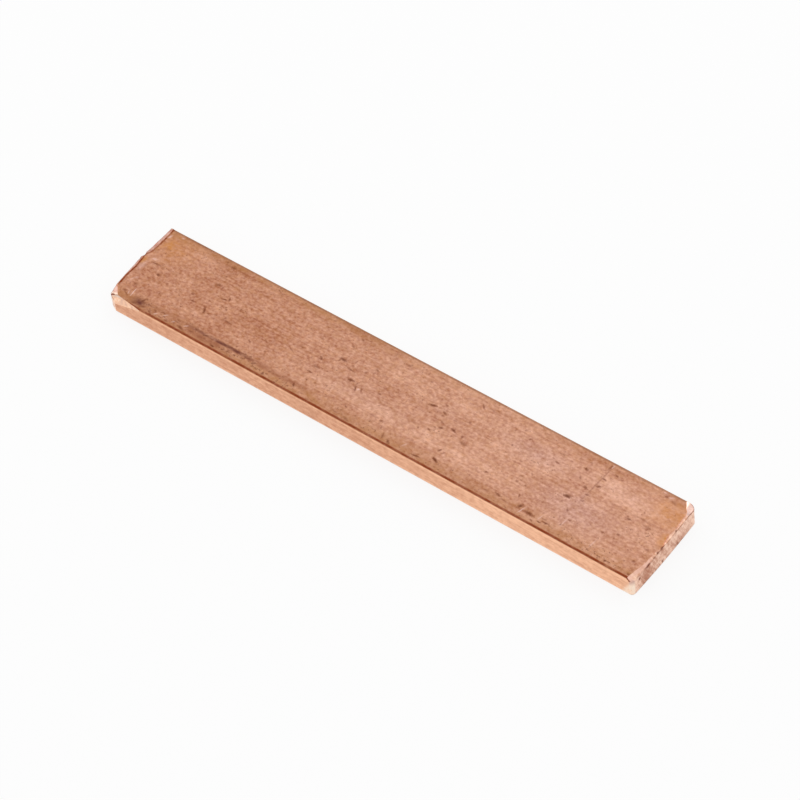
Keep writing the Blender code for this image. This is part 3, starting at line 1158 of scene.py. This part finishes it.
def oxide_and_dark_lines(tree, finish, at, metal, patchy):
    """Oxide along the break of the sawn end, the painted dark reflection of the near edge carried onto the
    near rounded corner of the ground end, and dark lines in the lip colour along the creases between filed
    flats.
    """
    past_facet = tree.smooth(at.y, -9.6, -7.6)
    fainter = tree.smooth(at.y, 1.0, 3.0) * 0.3
    lip_line = tree.band(at.edge, -0.12, 0.05, 0.3, 0.62) * at.sawn * past_facet
    metal = tree.mix(lip_line * (0.95 - fainter + patchy * 1.8), metal, finish.lip)

    # The painted dark reflection of the near edge, carried onto the near rounded corner of the ground end
    dark_reflection_hook = tree.band(at.edge, -0.2, -0.05, 0.05, 0.2) * tree.band(at.x, 72.6, 73.0, 74.2, 74.5)
    near_top = tree.smooth(at.near, 12.0, 12.2) * tree.smooth(at.z, 4.2, 4.5)
    metal = tree.mix(dark_reflection_hook * near_top, metal, finish.painted_dark_reflection)

    crease = 1 - tree.smooth(at.crease, 0.05, 0.22)
    # No dark lines on the near side of the ground end, where the corner's painted highlight lies
    corner_highlight = at.ground * tree.smooth(at.near, 10.2, 11.0)
    far_round = at.ground * tree.smooth(at.y, 9.4, 10.4)
    near_facet = tree.smooth(at.near, 10.8, 11.2) * (1 - tree.smooth(at.x, -72.2, -71.8))
    darker = 0.4 + tree.largest(far_round, near_facet) * 0.5 + patchy * 2.4
    above_foot = tree.smooth(at.z, 1.5, 3.0)
    return tree.mix(at.bared * crease * darker * above_foot * (1 - corner_highlight), metal, finish.lip)


def fine_relief(tree, finish, at, grain, scratches):
    """Scratches that only the shading shows: along the bar, and leaning on the end faces."""
    fine = at.noise(3.0, 6.0)
    lines = at.noise(0.12, 9.0, 2.0, 0.5)
    drawn_height = lines * 0.6 + fine * 0.5 + grain * 0.5
    height = (1 - at.bared) * drawn_height + at.bared * scratches * 1.2
    sockets = {"Strength": finish.relief_share, "Distance": finish.relief, "Height": height}
    return tree.wire(tree.node("ShaderNodeBump", sockets))


def copper(finish):
    """Drawn copper with its tarnish, its filed flats and its pits."""
    material = bpy.data.materials.new("worked_copper")
    tree = Tree(material)
    at = Place(tree)
    mottle = at.noise(0.9, 0.9)
    patchy = at.noise(0.35, 0.7)

    top, grain, streaks = drawn_top(tree, finish, at)
    metal = tree.mix(tree.smooth(at.section, 0.35, 0.55), top, long_side(tree, finish, at))
    metal = rounded_edges(tree, finish, at, metal, patchy)

    bare, scratches = end_face(tree, finish, at)
    bare = ground_flats(tree, finish, at, bare, mottle)
    bare = sawn_flats(tree, finish, at, bare, mottle)
    metal = tree.mix(at.bared, metal, bare)
    # A painted highlight on the near corner of the ground end
    metal = painted_corner_highlight(tree, finish, at, metal, patchy)
    metal = oxide_and_dark_lines(tree, finish, at, metal, patchy)
    metal = tree.mix(at.grime * (1.3 - at.grime * 0.5), metal, finish.pit)
    metal = tree.mix(at.grime * -1.1, metal, finish.scuff)

    duller = grain * 0.2 + streaks * 0.1 + at.grime * 0.3 - at.bared * 0.08
    sockets = {
        "Base Color": metal,
        "Metallic": 1.0,
        "Roughness": finish.roughness + duller,
        "Normal": fine_relief(tree, finish, at, grain, scratches),
    }
    shader = tree.node("ShaderNodeBsdfPrincipled", sockets)
    tree.node("ShaderNodeOutputMaterial", {"Surface": tree.wire(shader)})
    return material


def white_paper(glow):
    """A white floor that keeps soft shadows."""
    material = bpy.data.materials.new("white_paper")
    tree = Tree(material)
    paper = tree.node("ShaderNodeBsdfDiffuse", {"Color": (PAPER_WHITE, PAPER_WHITE, PAPER_WHITE, 1)})
    light = tree.node("ShaderNodeEmission", {"Color": (1, 1, 1, 1), "Strength": 1.0})
    sockets = {0: tree.seen() * glow, 1: tree.wire(paper), 2: tree.wire(light)}
    surface = tree.node("ShaderNodeMixShader", sockets)
    tree.node("ShaderNodeOutputMaterial", {"Surface": tree.wire(surface)})
    return material


# The stage


def floor(studio):
    """A square sheet of paper just under the bar."""
    half = studio.floor_size / 2
    bm = bmesh.new()
    bmesh.ops.create_grid(bm, x_segments=1, y_segments=1, size=half)
    bmesh.ops.translate(bm, verts=bm.verts[:], vec=(0, 0, -PAPER_GAP * MM))
    mesh = mesh_of("paper_floor", bm)
    mesh.materials.append(white_paper(studio.floor_glow))
    return placed("paper_floor", mesh)


def white_world(level):
    """White all round: at full strength where it is seen, and at the given level as light."""
    world = bpy.data.worlds.new("white_studio")
    tree = Tree(world)
    seen = tree.seen()
    strength = seen + (1 - seen) * level
    sky = tree.node("ShaderNodeBackground", {"Color": (1, 1, 1, 1), "Strength": strength})
    tree.node("ShaderNodeOutputWorld", {"Surface": tree.wire(sky)})
    bpy.context.scene.world = world


def softbox(name, towards, level, studio):
    """A lit square that faces the bar. The level is how bright its surface is."""
    lamp = bpy.data.lights.new(name, "AREA")
    lamp.shape = "SQUARE"
    lamp.size = studio.lamp_size
    lamp.energy = level * math.pi * studio.lamp_size ** 2
    box = placed(name, lamp)
    towards = towards.normalized()
    box.location = towards * studio.lamp_distance
    box.rotation_euler = towards.to_track_quat("Z", "Y").to_euler()


def camera(studio):
    """The camera, turned as the photograph's was."""
    lens = bpy.data.cameras.new("camera")
    lens.lens = studio.camera_lens
    lens.sensor_width = SENSOR_WIDTH
    eye = placed("camera", lens)
    turn = (
        Matrix.Rotation(studio.camera_turn, 3, "Z")
        @ Matrix.Rotation(math.pi / 2 - studio.camera_rise, 3, "X")
        @ Matrix.Rotation(studio.camera_roll, 3, "Z")
    )
    eye.rotation_euler = turn.to_euler()
    eye.location = studio.camera_aim + turn @ Vector((0, 0, studio.camera_distance))
    bpy.context.scene.camera = eye


class FLATBAR_OT_bar(bpy.types.Operator):
    """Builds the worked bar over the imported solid"""

    bl_idname = "flat_bar.bar"
    bl_label = "Flat Bar"

    def execute(self, context):
        bar = worked_bar(context.scene.bar_surface)
        bar.data.materials.append(copper(context.scene.bar_finish))
        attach(bar, BODY)
        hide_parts(NODE)
        return {"FINISHED"}


class FLATBAR_OT_stage(bpy.types.Operator):
    """Lays the floor and sets the lamps, the world and the camera"""

    bl_idname = "flat_bar.stage"
    bl_label = "Stage"

    def execute(self, context):
        studio = context.scene.bar_studio
        floor(studio)
        white_world(studio.world_level)
        softbox("back_softbox", studio.back_direction, studio.back_level, studio)
        softbox("side_softbox", studio.side_direction, studio.side_level, studio)
        camera(studio)
        context.scene.view_settings.view_transform = "Standard"
        return {"FINISHED"}


class FLATBAR_PT_sidebar(bpy.types.Panel):
    """Lists the bar's and the stage's settings and operators"""

    bl_idname = "FLATBAR_PT_sidebar"
    bl_label = "Copper Flat Bar"
    bl_space_type = "VIEW_3D"
    bl_region_type = "UI"
    bl_category = "Flat Bar"

    def draw(self, context):
        scene = context.scene
        sections = (
            (FLATBAR_OT_bar, (scene.bar_surface, scene.bar_finish)),
            (FLATBAR_OT_stage, (scene.bar_studio,)),
        )
        for operator, groups in sections:
            box = self.layout.box()
            box.operator(operator.bl_idname)
            for group in groups:
                for name in group.__annotations__:
                    box.prop(group, name)


GROUPS = {"bar_surface": BarSurface, "bar_finish": BarFinish, "bar_studio": Studio}
CLASSES = (*GROUPS.values(), FLATBAR_OT_bar, FLATBAR_OT_stage, FLATBAR_PT_sidebar)


def register():
    for item in CLASSES:
        bpy.utils.register_class(item)
    for name, group in GROUPS.items():
        setattr(bpy.types.Scene, name, bpy.props.PointerProperty(type=group))


def unregister():
    for name in GROUPS:
        delattr(bpy.types.Scene, name)
    for item in reversed(CLASSES):
        bpy.utils.unregister_class(item)


def main():
    register()
    bpy.ops.flat_bar.bar()
    bpy.ops.flat_bar.stage()


if __name__ == "__main__":
    main()
